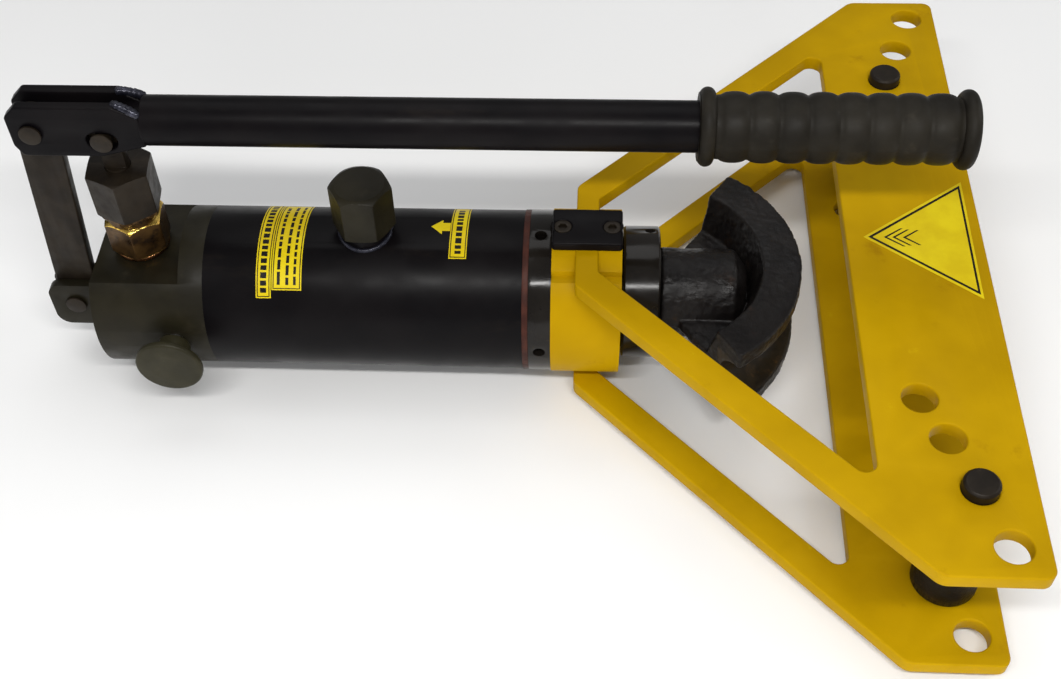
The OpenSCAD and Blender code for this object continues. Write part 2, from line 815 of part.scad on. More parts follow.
/* Release valve */
module release_knob() {
    color("#2a2b26") on_axis() translate([knob_x, 0, 0]) difference() {
        union() {
            rotate([90, 0, 0]) chamfered_rod(knob_d / 2, knob_face - knob_t, knob_face, knob_chamfer);
            rod_y(knob_hub_r, -knob_face + knob_t - cut, -tube_r - knob_hub_gap);
        }
        rod_y(spindle_r, -knob_face + spindle_cap, -tube_r);
    }
}

module release_spindle() {
    color("#8c8f93") on_axis() translate([knob_x, 0, 0]) difference() {
        union() {
            rod_y(spindle_r, -knob_face + spindle_cap, -spindle_tip - spindle_cone);
            rotate([90, 0, 0]) translate([0, 0, spindle_tip + seat_gap])
                cylinder(r1 = spindle_point_r, r2 = spindle_r, h = spindle_cone);
        }
        difference() {
            rod_y(spindle_r + cut, -ring_far, -ring_near);
            rod_y(spindle_r - ring_wall, -ring_far - cut, -ring_near + cut);
        }
    }
}

module release_ring() {
    color("#3a3a3c") on_axis() translate([knob_x, 0, 0]) difference() {
        rod_y(spindle_r, -ring_far, -ring_near);
        rod_y(spindle_r - ring_wall, -ring_far - cut, -ring_near + cut);
    }
}

/* Rollers and their pins */
module roller() {
    r = roller_d / 2;
    half = roller_len / 2;
    groove_r = (pow(half - roller_land, 2) + pow(roller_dish, 2)) / (2 * roller_dish);
    rotate_extrude() difference() {
        polygon([[hole_d / 2 + run, -half], [r - edge_r, -half], [r, edge_r - half], [r, half - edge_r],
            [r - edge_r, half], [hole_d / 2 + run, half]]);
        translate([r - roller_dish + groove_r, 0]) circle(r = groove_r, $fn = 180);
    }
}

module roller_pin() { chamfered_rod(pin_r, -plate_span / 2, plate_span / 2 + pin_proud, pin_chamfer); }

module at(p) { translate([p[0], p[1], 0]) children(); }
module front_roller() { color("#1a1a1c") on_axis() at(front_pin) roller(); }
module rear_roller() { color("#1a1a1c") on_axis() at(rear_pin) roller(); }
module front_roller_pin() { color("#1e1e21") on_axis() at(front_pin) roller_pin(); }
module rear_roller_pin() { color("#1e1e21") on_axis() at(rear_pin) roller_pin(); }

pump_block();
reservoir_tube();
pressure_cylinder();
tube_gasket();
front_head();
guide_bush();
rod_seal();
front_nut();
wiper_ring();
wing_collar();
upper_wing_plate();
lower_wing_plate();
upper_clamp_block();
lower_clamp_block();
clamp_bolts();
filler_neck();
link_lug();
lug_pin();
lug_pin_clip();
pump_washer();
pump_barrel();
gland_nut();
plunger_seal();
suction_ball();
delivery_ball();
delivery_spring();
delivery_seat_screw();
suction_plug();
return_spring();
ram_rod();
piston();
piston_seal();
piston_nut();
former();
former_screw();
link_strap();
link_pin();
link_pin_clip();
front_cheek();
rear_cheek();
fork_spacer();
handle_tube();
handle_grip();
plunger();
plunger_pin();
plunger_pin_clip();
release_knob();
release_spindle();
release_ring();
filler_cap();
filler_seal();
front_roller();
rear_roller();
front_roller_pin();
rear_roller_pin();
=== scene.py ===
"""Looks of the hand-pumped bender: finishes for every CAD node, and finer pieces for what shows most."""

import json
import math
import random
from collections import namedtuple

import bmesh
import bpy
from mathutils import Matrix, Vector, noise


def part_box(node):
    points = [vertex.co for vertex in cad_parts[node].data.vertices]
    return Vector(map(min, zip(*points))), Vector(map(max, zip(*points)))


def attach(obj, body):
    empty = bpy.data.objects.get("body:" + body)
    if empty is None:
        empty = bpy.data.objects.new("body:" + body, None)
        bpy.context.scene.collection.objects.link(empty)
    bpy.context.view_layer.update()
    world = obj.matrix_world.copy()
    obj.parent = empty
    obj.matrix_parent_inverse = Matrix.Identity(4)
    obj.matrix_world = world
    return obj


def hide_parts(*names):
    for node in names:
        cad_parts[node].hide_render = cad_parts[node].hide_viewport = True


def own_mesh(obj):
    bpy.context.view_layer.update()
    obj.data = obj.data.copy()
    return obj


MM = 0.001  # lengths below are in mm, and the scene is in metres

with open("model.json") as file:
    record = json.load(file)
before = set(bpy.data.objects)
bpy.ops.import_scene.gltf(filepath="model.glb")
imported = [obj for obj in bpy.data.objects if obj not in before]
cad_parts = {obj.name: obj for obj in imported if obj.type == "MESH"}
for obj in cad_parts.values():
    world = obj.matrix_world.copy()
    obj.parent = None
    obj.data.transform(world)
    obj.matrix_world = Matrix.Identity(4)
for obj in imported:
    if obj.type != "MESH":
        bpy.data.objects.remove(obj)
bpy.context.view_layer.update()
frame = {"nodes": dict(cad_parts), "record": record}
slots = {n["node"]: n["material_slot"] for n in frame["record"]["subparts"]}
bodies = {n: b for b, members in frame["record"]["behaviour"]["bodies"].items() for n in members}
Point = namedtuple("Point", "x y z")


def lowest(node):
    """The lowest corner of a CAD node's box, in mm."""
    return Point(*(round(value / MM, 2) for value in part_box(node)[0]))


def highest(node):
    """The highest corner of a CAD node's box, in mm."""
    return Point(*(round(value / MM, 2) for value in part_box(node)[1]))


def middle(node):
    """The middle of a CAD node, rounded to 0.1 mm, since the box of a facetted round is a hair off centre."""
    return Point(*(round((a + b) / 2, 1) for a, b in zip(lowest(node), highest(node))))


AXIS_Z = middle("ram_rod").z  # height of the ram's axis over the ground
TUBE_R = highest("reservoir_tube").z - AXIS_Z

# ---------------------------------------------------------------- finishes

EVEN = (1, 1, 1)  # a pattern that isn't stretched along any axis


def mix_colour(tree, factor, a, b):
    """A colour between a and b. Each may be a colour or an output socket."""
    node = tree.nodes.new("ShaderNodeMix")
    node.data_type = "RGBA"
    tree.links.new(factor, node.inputs["Factor"])
    for name, value in (("A", a), ("B", b)):
        socket = next(s for s in node.inputs if s.name == name and s.type == "RGBA")
        if isinstance(value, bpy.types.NodeSocket):
            tree.links.new(value, socket)
        else:
            socket.default_value = (*value, 1)
    return next(s for s in node.outputs if s.type == "RGBA")


def remap(tree, value, low, high, to_low=0.0, to_high=1.0):
    """The value eased from its range low to high on to the range to_low to to_high."""
    node = tree.nodes.new("ShaderNodeMapRange")
    node.interpolation_type = "SMOOTHSTEP"
    tree.links.new(value, node.inputs["Value"])
    for name, number in (("From Min", low), ("From Max", high), ("To Min", to_low), ("To Max", to_high)):
        node.inputs[name].default_value = number
    return node.outputs["Result"]


def clouds(tree, place, size, detail=4, stretch=EVEN, turn=(0, 0, 0), rough=0.55):
    """A noise pattern whose features are about size mm across, over coordinates in metres."""
    mapping = tree.nodes.new("ShaderNodeMapping")
    mapping.inputs["Scale"].default_value = [1 / (size * MM * s) for s in stretch]
    mapping.inputs["Rotation"].default_value = turn
    tree.links.new(place, mapping.inputs["Vector"])
    node = tree.nodes.new("ShaderNodeTexNoise")
    node.inputs["Scale"].default_value = 1
    node.inputs["Detail"].default_value = detail
    node.inputs["Roughness"].default_value = rough
    tree.links.new(mapping.outputs["Vector"], node.inputs["Vector"])
    return node.outputs["Fac"]


def finish(name, dark, light, size, rough, relief, metallic=0.0, specular=0.5, stretch=EVEN, marks=()):
    """A surface finish. dark and light mix in clouds of that size. rough is the range of the roughness.
    relief is a list of (size, height) noise layers. marks are (colour, size, low, high, stretch) patches."""
    material = bpy.data.materials.new(name)
    material.use_nodes = True
    tree = material.node_tree
    shader = tree.nodes["Principled BSDF"]
    place = tree.nodes.new("ShaderNodeTexCoord").outputs["Object"]
    broad = clouds(tree, place, size, stretch=stretch)
    colour = mix_colour(tree, remap(tree, broad, 0.32, 0.68), dark, light)
    for tint, mark_size, low, high, mark_stretch in marks:
        patch = clouds(tree, place, mark_size, detail=6, stretch=mark_stretch, rough=0.65)
        colour = mix_colour(tree, remap(tree, patch, low, high), colour, tint)
    tree.links.new(colour, shader.inputs["Base Color"])
    smears = clouds(tree, place, size * 0.45, detail=5, stretch=stretch, turn=(0.4, 0.2, 0.7))
    tree.links.new(remap(tree, smears, 0.3, 0.7, *rough), shader.inputs["Roughness"])
    normal = None
    for relief_size, height in relief:
        bump = tree.nodes.new("ShaderNodeBump")
        bump.inputs["Strength"].default_value = 1
        bump.inputs["Distance"].default_value = height * MM
        tree.links.new(clouds(tree, place, relief_size, detail=3, stretch=stretch), bump.inputs["Height"])
        if normal:
            tree.links.new(normal, bump.inputs["Normal"])
        normal = bump.outputs["Normal"]
    tree.links.new(normal, shader.inputs["Normal"])
    shader.inputs["Metallic"].default_value = metallic
    shader.inputs["Specular IOR Level"].default_value = specular
    return material


finishes = {
    "frame_yellow": finish(
        "yellow_paint", (0.37, 0.215, 0.0006), (0.46, 0.275, 0.0010), 70, (0.34, 0.52),
        [(2.6, 0.04), (14, 0.14)], specular=0.04,
        marks=[
            ((0.29, 0.150, 0.0010), 24, 0.60, 0.80, EVEN),
            ((0.055, 0.030, 0.006), 3.0, 0.765, 0.80, EVEN),
            ((0.50, 0.34, 0.003), 11, 0.66, 0.84, EVEN),
        ],
    ),
    "tube_black": finish(
        "gloss_black_tube", (0.0022, 0.0019, 0.0024), (0.0045, 0.0036, 0.0040), 60, (0.30, 0.46),
        [(1.8, 0.010), (20, 0.05)], specular=0.09,
        marks=[
            ((0.012, 0.009, 0.007), 30, 0.60, 0.82, (3, 1, 1)),
            ((0.030, 0.028, 0.026), 1.4, 0.78, 0.82, (6, 1, 1)),
        ],
    ),
    "handle_black": finish(
        "gloss_black_handle", (0.0024, 0.0020, 0.0026), (0.0050, 0.0040, 0.0044), 45, (0.30, 0.46),
        [(1.8, 0.012), (16, 0.06)], specular=0.08,
        marks=[
            ((0.013, 0.010, 0.008), 22, 0.60, 0.82, (3, 1, 1)),
            ((0.030, 0.028, 0.026), 1.2, 0.78, 0.82, (5, 1, 1)),
        ],
    ),
    "block_black": finish(
        "satin_block", (0.0085, 0.0070, 0.0036), (0.0160, 0.0135, 0.0070), 28, (0.36, 0.54),
        [(0.9, 0.010), (12, 0.05)], specular=0.16,
        marks=[
            ((0.024, 0.020, 0.012), 16, 0.58, 0.82, EVEN),
            ((0.0045, 0.0036, 0.0025), 5, 0.64, 0.78, EVEN),
        ],
    ),
    "black_oxide": finish(
        "black_oxide", (0.0100, 0.0070, 0.0045), (0.0200, 0.0145, 0.0090), 14, (0.34, 0.54),
        [(0.7, 0.012), (6, 0.05)], metallic=0.25, specular=0.22,
        marks=[
            ((0.040, 0.029, 0.016), 6, 0.60, 0.82, EVEN),
            ((0.0040, 0.0030, 0.0020), 3, 0.66, 0.80, EVEN),
        ],
    ),
    "cast_black": finish(
        "rough_cast", (0.0034, 0.0026, 0.0026), (0.0080, 0.0064, 0.0058), 16, (0.30, 0.52),
        [(0.8, 0.12), (2.4, 0.30), (11, 0.3)], specular=0.20,
        marks=[
            ((0.022, 0.011, 0.006), 13, 0.58, 0.80, EVEN),
            ((0.020, 0.018, 0.017), 2.2, 0.68, 0.80, EVEN),
        ],
    ),
    "steel": finish(
        "ground_steel", (0.28, 0.27, 0.26), (0.42, 0.41, 0.40), 12, (0.25, 0.42),
        [(0.5, 0.008), (7, 0.02)], metallic=1.0,
        marks=[
            ((0.12, 0.09, 0.06), 5, 0.60, 0.80, EVEN),
        ],
    ),
    "hard_chrome": finish(
        "hard_chrome", (0.55, 0.56, 0.58), (0.64, 0.65, 0.67), 25, (0.06, 0.16),
        [(0.6, 0.004), (9, 0.01)], metallic=1.0,
        marks=[
            ((0.42, 0.43, 0.45), 4, 0.64, 0.80, (8, 1, 1)),
        ],
    ),
    "brass": finish(
        "aged_brass", (0.050, 0.024, 0.007), (0.105, 0.055, 0.016), 9, (0.26, 0.44),
        [(0.6, 0.012), (5, 0.03)], metallic=0.8,
        marks=[
            ((0.022, 0.012, 0.006), 6, 0.50, 0.70, EVEN),
            ((0.30, 0.17, 0.035), 4.5, 0.68, 0.82, EVEN),
        ],
    ),
    "bronze": finish(
        "machined_bronze", (0.42, 0.26, 0.11), (0.58, 0.38, 0.18), 10, (0.22, 0.36),
        [(0.5, 0.008), (6, 0.02)], metallic=1.0,
        marks=[
            ((0.24, 0.14, 0.07), 5, 0.60, 0.78, EVEN),
        ],
    ),
    "copper": finish(
        "aged_copper", (0.20, 0.085, 0.035), (0.42, 0.20, 0.085), 6, (0.22, 0.40),
        [(0.5, 0.012), (4, 0.03)], metallic=1.0,
        marks=[
            ((0.09, 0.045, 0.022), 4, 0.52, 0.72, EVEN),
        ],
    ),
    "grip_rubber": finish(
        "moulded_rubber", (0.0080, 0.0066, 0.0046), (0.0145, 0.0122, 0.0085), 20, (0.46, 0.62),
        [(0.5, 0.02), (5, 0.05)], specular=0.15,
        marks=[
            ((0.026, 0.022, 0.016), 12, 0.58, 0.82, EVEN),
            ((0.048, 0.042, 0.032), 1.6, 0.72, 0.82, EVEN),
        ],
    ),
    "seal_rubber": finish(
        "nitrile_rubber", (0.012, 0.012, 0.012), (0.022, 0.021, 0.020), 8, (0.45, 0.60),
        [(0.4, 0.01), (3, 0.02)], specular=0.25,
        marks=[
            ((0.035, 0.034, 0.032), 3, 0.62, 0.80, EVEN),
        ],
    ),
    "gasket_brown": finish(
        "red_brown_gasket", (0.030, 0.0075, 0.0045), (0.060, 0.016, 0.009), 7, (0.45, 0.62),
        [(0.4, 0.02), (3, 0.04)], specular=0.20,
        marks=[
            ((0.012, 0.007, 0.006), 4, 0.58, 0.76, EVEN),
        ],
    ),
}
groove_rust = finish(
    "worn_groove", (0.0075, 0.0052, 0.0030), (0.0180, 0.0125, 0.0060), 12, (0.32, 0.50),
    [(0.8, 0.05), (5, 0.12)], specular=0.25, stretch=(1, 1, 3),
    marks=[
        ((0.055, 0.030, 0.010), 9, 0.55, 0.78, (1, 1, 3)),
        ((0.060, 0.052, 0.020), 5, 0.64, 0.80, EVEN),
    ],
)
turned_black = finish(
    "turned_black", (0.0055, 0.0044, 0.0036), (0.0100, 0.0082, 0.0066), 30, (0.12, 0.20),
    [(0.8, 0.004), (14, 0.02)], specular=0.22,
    marks=[
        ((0.020, 0.016, 0.012), 12, 0.60, 0.82, EVEN),
        ((0.004, 0.003, 0.003), 4, 0.64, 0.78, EVEN),
    ],
)
# Brighter brass for the pump barrel's chamfers: a painted highlight, not a brighter metal
brass_painted_highlight = finish(
    "painted_highlight_brass", (0.62, 0.36, 0.060), (0.86, 0.60, 0.145), 7, (0.16, 0.32),
    [(0.6, 0.012), (5, 0.03)], metallic=1.0,
    marks=[
        ((0.20, 0.095, 0.024), 5, 0.52, 0.68, EVEN),
        ((0.05, 0.028, 0.012), 3, 0.62, 0.76, EVEN),
    ],
)
knob_black = finish(
    "satin_knob", (0.0180, 0.0160, 0.0075), (0.0300, 0.0265, 0.0130), 18, (0.34, 0.50),
    [(0.7, 0.012), (7, 0.05)], specular=0.18,
    marks=[
        ((0.045, 0.041, 0.024), 9, 0.60, 0.82, EVEN),
        ((0.0080, 0.0070, 0.0040), 4, 0.64, 0.78, EVEN),
    ],
)
weld_bead = finish(
    "weld_bead", (0.010, 0.010, 0.016), (0.030, 0.031, 0.044), 5, (0.20, 0.36),
    [(1.2, 0.10), (4, 0.2)], metallic=0.5, specular=0.4,
    marks=[
        ((0.085, 0.085, 0.12), 2.5, 0.58, 0.74, EVEN),
    ],
)
label_yellow = finish(
    "label_vinyl", (0.56, 0.41, 0.004), (0.66, 0.52, 0.007), 18, (0.34, 0.48),
    [(1.5, 0.01), (9, 0.04)], specular=0.12,
    marks=[
        ((0.44, 0.31, 0.008), 5, 0.66, 0.80, EVEN),
    ],
)
label_ink = finish(
    "label_ink", (0.004, 0.0035, 0.003), (0.009, 0.008, 0.006), 7, (0.36, 0.50),
    [(1.2, 0.01), (8, 0.03)], specular=0.15,
    marks=[
        ((0.050, 0.040, 0.006), 1.6, 0.74, 0.82, EVEN),
    ],
)
floor_paper = finish(
    "pale_paper", (0.89, 0.89, 0.89), (0.92, 0.92, 0.92), 900, (0.75, 0.90),
    [(6, 0.02), (60, 0.05)], specular=0.1,
)

for node, mesh_object in frame["nodes"].items():
    for index in range(len(mesh_object.material_slots)):
        mesh_object.material_slots[index].link = "OBJECT"
        mesh_object.material_slots[index].material = finishes[slots[node]]


# ---------------------------------------------------------------- building


def show(name, mesh, node, materials=None, angle=32, stands_for=True):
    """Puts a mesh in the scene on a CAD node's body and slot, and as a rule in the place of that node."""
    piece = bpy.data.objects.new(name, mesh)
    bpy.context.scene.collection.objects.link(piece)
    for material in materials or [finishes[slots[node]]]:
        mesh.materials.append(material)
    mesh.shade_smooth()
    mesh.set_sharp_from_angle(angle=math.radians(angle))
    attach(piece, bodies[node])
    if stands_for:
        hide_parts(node)
    return piece


def applied(mesh, *modifiers):
    """The mesh after these modifiers, given as (type, {setting: value})."""
    carrier = bpy.data.objects.new("carrier", mesh)
    bpy.context.scene.collection.objects.link(carrier)
    for kind, settings in modifiers:
        modifier = carrier.modifiers.new(kind.lower(), kind)
        for key, value in settings.items():
            setattr(modifier, key, value)
    bpy.context.view_layer.update()
    result = bpy.data.meshes.new_from_object(carrier.evaluated_get(bpy.context.evaluated_depsgraph_get()))
    bpy.data.objects.remove(carrier)
    return result


def cad_copy(node):
    """A copy of a CAD node's mesh with its flat faces joined up, and with no materials yet."""
    mesh = frame["nodes"][node].data.copy()
    mesh.materials.clear()
    form = bmesh.new()
    form.from_mesh(mesh)
    bmesh.ops.remove_doubles(form, verts=form.verts, dist=1e-6)
    bmesh.ops.dissolve_limit(form, angle_limit=math.radians(0.5), verts=form.verts, edges=form.edges)
    form.to_mesh(mesh)
    form.free()
    return mesh


def eased(node, width, segments=2, angle=38, materials=None):
    """A CAD node with its sharp edges rounded over."""
    bevel = {
        "width": width * MM,
        "segments": segments,
        "limit_method": "ANGLE",
        "angle_limit": math.radians(angle),
        "use_clamp_overlap": True,
        "miter_outer": "MITER_ARC",
    }
    show(node + "_eased", applied(cad_copy(node), ("BEVEL", bevel)), node, materials)


def smoothed_profile(points, radius, steps=4):
    """A polyline with each corner between its ends turned into a short arc of about that radius."""
    out = [points[0]]
    for before, corner, after in zip(points, points[1:], points[2:]):
        a, b, c = Vector(before), Vector(corner), Vector(after)
        reach = min(radius, (a - b).length * 0.45, (c - b).length * 0.45)
        start, end = b + (a - b).normalized() * reach, b + (c - b).normalized() * reach
        for i in range(steps + 1):
            t = i / steps
            out.append(tuple(start * (1 - t) ** 2 + b * 2 * t * (1 - t) + end * t * t))
    return out + [points[-1]]


def revolve(profile, origin, axis, segments=128, radius_at=None):
    """A closed body turned from a profile of (radius, distance) about an axis through origin."""
    turn = Vector((0, 0, 1)).rotation_difference(Vector(axis)).to_matrix()
    base = Vector(origin)
    form = bmesh.new()
    rings = []
    for radius, along in profile:
        if radius < 1e-6:
            rings.append([form.verts.new((base + turn @ Vector((0, 0, along))) * MM)])
            continue
        ring = []
        for i in range(segments):
            angle = 2 * math.pi * i / segments
            r = radius_at(radius, angle, along) if radius_at else radius
            point = Vector((r * math.cos(angle), r * math.sin(angle), along))
            ring.append(form.verts.new((base + turn @ point) * MM))
        rings.append(ring)
    for lower, upper in zip(rings, rings[1:]):
        for i in range(segments):
            j = (i + 1) % segments
            corners = [lower[i % len(lower)], lower[j % len(lower)]]
            corners += [upper[j % len(upper)], upper[i % len(upper)]]
            unique = list(dict.fromkeys(corners))
            if len(unique) > 2:
                form.faces.new(unique)
    bmesh.ops.recalc_face_normals(form, faces=form.faces)
    mesh = bpy.data.meshes.new("turned")
    form.to_mesh(mesh)
    form.free()
    return mesh


def plate(outlines, low, high, ease, upright=False, segments=3):
    """A flat plate with eased edges, cut to closed outlines. The first is its edge, the others are openings.
    It lies in XY from z low to high, or stands in XZ with y from low to high."""
    curve = bpy.data.curves.new("outline", "CURVE")
    curve.dimensions = "2D"
    curve.fill_mode = "BOTH"
    for outline in outlines:
        spline = curve.splines.new("POLY")
        spline.points.add(len(outline) - 1)
        for point, (x, y) in zip(spline.points, outline):
            point.co = (x * MM, y * MM, 0, 1)
        spline.use_cyclic_u = True
    curve.extrude = ((high - low) / 2 - ease) * MM
    curve.bevel_depth = ease * MM
    curve.bevel_resolution = segments
    curve.offset = -ease * MM
    carrier = bpy.data.objects.new("carrier", curve)
    bpy.context.scene.collection.objects.link(carrier)
    bpy.context.view_layer.update()
    mesh = bpy.data.meshes.new_from_object(carrier.evaluated_get(bpy.context.evaluated_depsgraph_get()))
    bpy.data.objects.remove(carrier)
    if upright:
        mesh.transform(Matrix.Rotation(math.pi / 2, 4, "X"))
        mesh.transform(Matrix.Translation((0, (low + high) / 2 * MM, 0)))
    else:
        mesh.transform(Matrix.Translation((0, 0, (low + high) / 2 * MM)))
    form = bmesh.new()
    form.from_mesh(mesh)
    bmesh.ops.remove_doubles(form, verts=form.verts, dist=2e-6)
    bmesh.ops.recalc_face_normals(form, faces=form.faces)
    form.to_mesh(mesh)
    form.free()
    return mesh


def rounded(corners, steps=10):
    """A closed outline from (x, y, radius) corners, each turned into a true arc."""
    out = []
    count = len(corners)
    for i, (x, y, radius) in enumerate(corners):
        corner = Vector((x, y))
        u = (Vector(corners[i - 1][:2]) - corner).normalized()
        v = (Vector(corners[(i + 1) % count][:2]) - corner).normalized()
        half = u.angle(v) / 2
        centre = corner + (u + v).normalized() * radius / math.sin(half)
        start = corner + u * radius / math.tan(half) - centre
        end = corner + v * radius / math.tan(half) - centre
        for k in range(steps + 1):
            t = k / steps
            out.append(tuple(centre + (start * (1 - t) + end * t).normalized() * radius))
    return out


def circle(x, y, radius, count=56):
    angles = [2 * math.pi * i / count for i in range(count)]
    return [(x + radius * math.cos(a), y + radius * math.sin(a)) for a in angles]


def hexagon(flats, turn):
    """A radius function for revolve: a hexagon with slightly eased corners inside the turned profile."""
    step = math.pi / 3
    corner = flats / math.sqrt(3)

    def radius_at(radius, angle, along):
        off_flat = abs((angle - turn) % step - step / 2)
        ease = 0.08 + max(0, off_flat / (step / 2) - 0.93)
        return min(radius, flats / 2 / math.cos(off_flat), corner - ease)

    return radius_at


def bead(path, thickness, ripple, body_node, name, seed):
    """A weld bead laid along a path of points, with its overlapping ripples. It thins out at both ends."""
    random.seed(seed)
    form = bmesh.new()
    rings = []
    sides = 12
    turns = [2 * math.pi * k / sides for k in range(sides)]
    for i, point in enumerate(path):
        here = Vector(point)
        ahead = Vector(path[min(i + 1, len(path) - 1)]) - Vector(path[max(i - 1, 0)])
        forward = ahead.normalized()
        across = forward.cross(Vector((0, 0, 1)))
        across = across.normalized() if across.length > 0.1 else Vector((0, 1, 0))
        up = across.cross(forward).normalized()
        swell = 1 + 0.16 * abs(math.sin(i * ripple)) + random.uniform(-0.05, 0.05)
        end = min(1.0, 0.35 + 0.3 * min(i, len(path) - 1 - i))
        r = thickness * swell * end
        points = [here + across * r * math.cos(a) + up * r * math.sin(a) for a in turns]
        rings.append([form.verts.new(point * MM) for point in points])
    for lower, upper in zip(rings, rings[1:]):
        for k in range(sides):
            form.faces.new([lower[k], lower[(k + 1) % sides], upper[(k + 1) % sides], upper[k]])
    form.faces.new(rings[0])
    form.faces.new(rings[-1])
    bmesh.ops.recalc_face_normals(form, faces=form.faces)
    mesh = bpy.data.meshes.new(name)
    form.to_mesh(mesh)
    form.free()
    show(name, mesh, body_node, materials=[weld_bead], angle=70, stands_for=False)


# ---------------------------------------------------------------- wing plates and clamp

WING_BACK = lowest("upper_wing_plate").x
TIP = highest("upper_wing_plate").x  # the front edges, and half the span, which is the same
HOLE_R = 8
HOLE_SHIFT = 9.2  # how far each hole lies behind the next one out
HOLES = [(TIP - 15 - HOLE_SHIFT * i, TIP - inwards) for i, inwards in enumerate((15, 43, 69, 91))]
SHEET_EASE = 0.9  # rounding of the edges of everything cut from plate


def mirrored(corners):
    """Corners on the rear side, followed round by the same ones on the front side."""
    return corners + [(x, -y, r) for x, y, r in reversed(corners)]


root_half, root_window_half = 34, 25
shoulder_x, window_x, window_half = 144, 124, 146
outer = rounded(mirrored([(WING_BACK, root_half, 6), (shoulder_x, TIP, 8), (TIP, TIP, 5)]))
window = rounded(mirrored([(WING_BACK + 11, root_window_half, 3), (window_x, window_half, 5)]))
holes = [circle(x, side * y, HOLE_R) for x, y in HOLES for side in (1, -1)]
for node in ("upper_wing_plate", "lower_wing_plate"):
    sheet = plate([outer, window, *holes], lowest(node).z, highest(node).z, SHEET_EASE)
    show(node + "_cut", sheet, node)

eased("wing_collar", 1.0, 3)

clamp = highest("upper_clamp_block")
clamp_outline = rounded([(i * clamp.x, j * clamp.y, 1.5) for i, j in ((-1, -1), (1, -1), (1, 1), (-1, 1))])
bolt_seats = [circle(side * 12, 0, 4.5, 40) for side in (1, -1)]
for node in ("upper_clamp_block", "lower_clamp_block"):
    block = plate([clamp_outline, *bolt_seats], lowest(node).z, highest(node).z, SHEET_EASE)
    show(node + "_milled", block, node)
eased("clamp_bolts", 0.35)

# ---------------------------------------------------------------- cylinder

eased("pump_block", 0.7, 3)
eased("reservoir_tube", 0.3)
eased("front_head", 0.45, 2, materials=[turned_black])
eased("front_nut", 0.35, 2, materials=[turned_black])
eased("tube_gasket", 0.25)
eased("link_lug", 1.0, 3)
eased("filler_neck", 0.3)


def hex_nut(node, flats, x, low, high, top, bottom, turn=0.0, bore=0.0, extra=()):
    """A hexagon nut on a vertical axis. top and bottom are the (inset, height) of its turned chamfers.
    extra is the profile of what stands on it."""
    corner = flats / math.sqrt(3)
    profile = [(bore, low), (corner - bottom[0], low)]
    chamfer_steps, side_steps = 14, 6
    for i in range(1, chamfer_steps + 1):
        t = i / chamfer_steps
        profile.append((corner - bottom[0] * (1 - t) ** 2, low + bottom[1] * t))
    side = high - top[1] - low - bottom[1]
    for i in range(side_steps):
        profile.append((corner, low + bottom[1] + side * (i + 1) / side_steps))
    for i in range(1, chamfer_steps + 1):
        t = i / chamfer_steps
        profile.append((corner - top[0] * t * t, high - top[1] * (1 - t)))
    profile += extra or [(bore, high)]
    mesh = revolve(profile, (x, 0, 0), (0, 0, 1), 360, hexagon(flats, turn))
    return show(node + "_hex", mesh, node, angle=24)


PUMP_X = middle("pump_barrel").x
FILLER_X = middle("filler_cap").x
PUMP_BORE = 6.3  # round the plunger
PUMP_TURN = math.radians(35)  # how far the pump's hexagons were screwed round

cap_foot, cap_top = highest("filler_seal").z, highest("filler_cap").z
hex_nut("filler_cap", 27, FILLER_X, cap_foot, cap_top, (3.6, 3.4), (2.0, 1.1))
gland_foot, gland_top = lowest("gland_nut").z, highest("gland_nut").z
hex_nut("gland_nut", 29, PUMP_X, gland_foot, gland_top, (2.2, 1.0), (1.6, 0.9), PUMP_TURN, PUMP_BORE)

washer_low, washer_high = lowest("pump_washer").z, highest("pump_washer").z
shoulder = gland_foot - 6  # top of the barrel's hexagon; a round collar stands on it
collar = [(13.0, shoulder + 0.4), (15.0, shoulder + 4), (13.5, gland_foot), (PUMP_BORE, gland_foot)]
barrel = hex_nut(
    "pump_barrel", 27, PUMP_X, washer_high, shoulder, (2.6, 2.8), (2.4, 1.6), PUMP_TURN, PUMP_BORE, collar
)
barrel.data.materials.append(brass_painted_highlight)
# Painted highlight: the upward-facing faces by the top chamfer, and the faces at the foot, get the brighter
# brass
for face in barrel.data.polygons:
    height = face.center.z / MM
    highlit_top = shoulder - 2.8 < height < shoulder + 4.2 and face.normal.z > 0.15
    highlit_foot = height < washer_high + 0.8
    if highlit_top or highlit_foot:
        face.material_index = 1

washer_in, washer_out = 11.1, 13.6
washer = [
    (washer_in, washer_low), (washer_out, washer_low), (washer_out, washer_high), (washer_in, washer_high),
    (washer_in, washer_low),
]
washer_mesh = revolve(smoothed_profile(washer, 0.9), (PUMP_X, 0, 0), (0, 0, 1))
show("pump_washer_ring", washer_mesh, "pump_washer", angle=50)

# The knob's profile is (radius, distance in front of the ram's axis)
knob_face, knob_end = -lowest("release_knob").y, -highest("release_knob").y
knob_back, knob_r, stem_r = 54, 16.5, 8
knob = [
    (0, knob_face), (9, knob_face), (15.6, knob_face - 0.4), (knob_r, knob_face - 1.2),
    (knob_r, knob_back + 0.8), (15.9, knob_back), (stem_r, knob_back), (stem_r, knob_end), (0, knob_end),
]
knob_mesh = revolve(smoothed_profile(knob, 0.6), (middle("release_knob").x, 0, AXIS_Z), (0, -1, 0))
show("release_knob_turned", knob_mesh, "release_knob", materials=[knob_black])

# ---------------------------------------------------------------- former, cast and left rough

FORMER_X = 30  # the middle of the arc that the pipe is bent to
GROOVE_FOOT = 61  # radius at the bottom of the groove
GROOVE_HALF = 14.2  # half its width, with a little over
WORN_SKIN = 0.35  # roughness of the groove beside that of the raw casting
WEB_R = 52  # the web and the boss lie inside this radius
FLASH_Z, FLASH_WIDTH, FLASH_HEIGHT = -0.4, 0.7, 0.45


